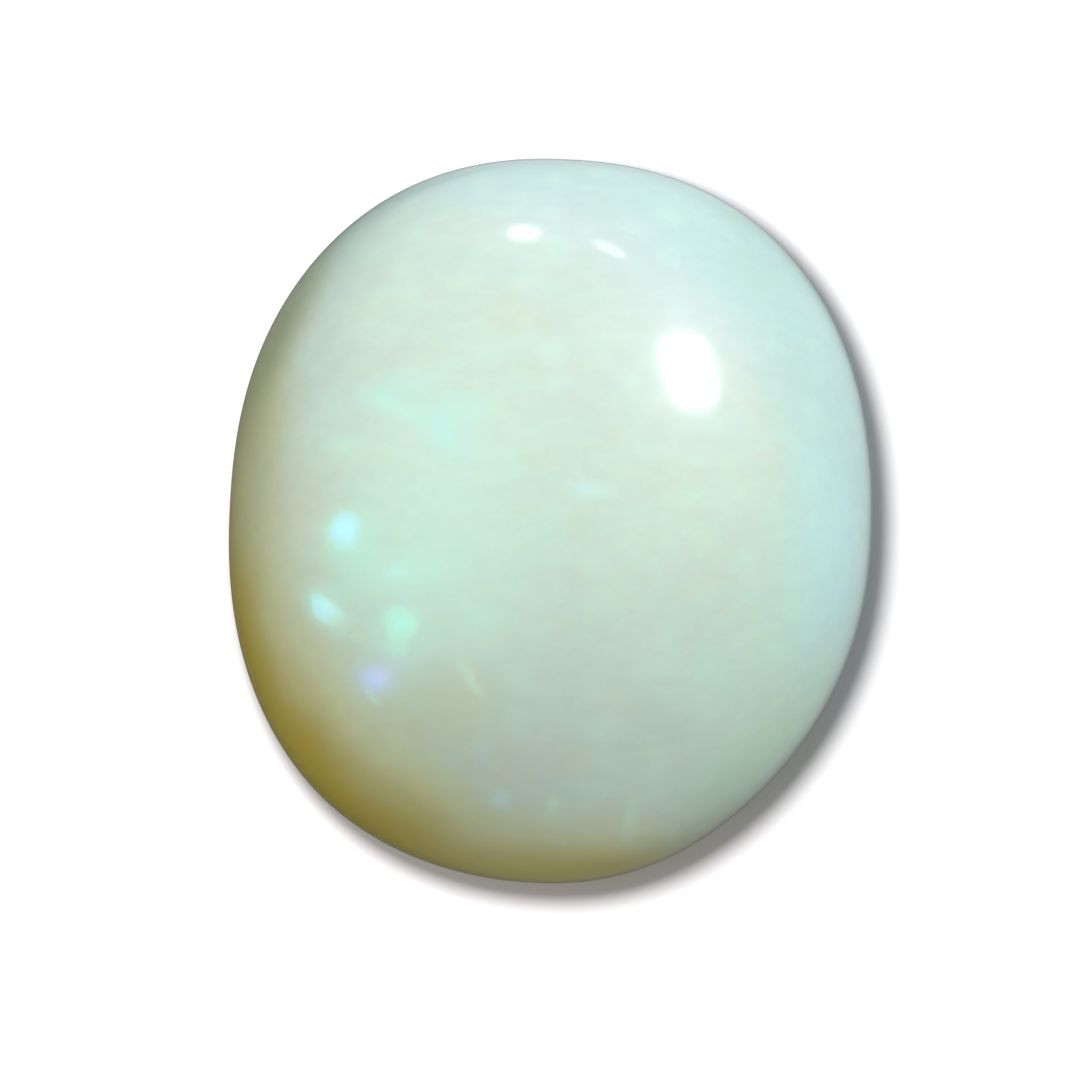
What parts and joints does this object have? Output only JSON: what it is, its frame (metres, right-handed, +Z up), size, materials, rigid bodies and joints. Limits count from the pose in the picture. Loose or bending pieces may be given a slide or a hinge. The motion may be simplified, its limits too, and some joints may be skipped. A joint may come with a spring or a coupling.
{
  "type": "polished opal cabochon",
  "caption": "Polished milky opal cabochon: a loose oval stone with a domed front and a flat ground back.",
  "frame": {"origin": "middle of the stone's length and width, on the flat back that it rests on", "axes": "+Z up through the crown of the dome, +Y along the length of the oval, +X across its width"},
  "size_m": [0.0142, 0.016, 0.0065],
  "materials": {
    "opal": "polished"
  },
  "bodies": {
    "root": {"opal_cabochon": "opal"}
  },
  "joints": []
}
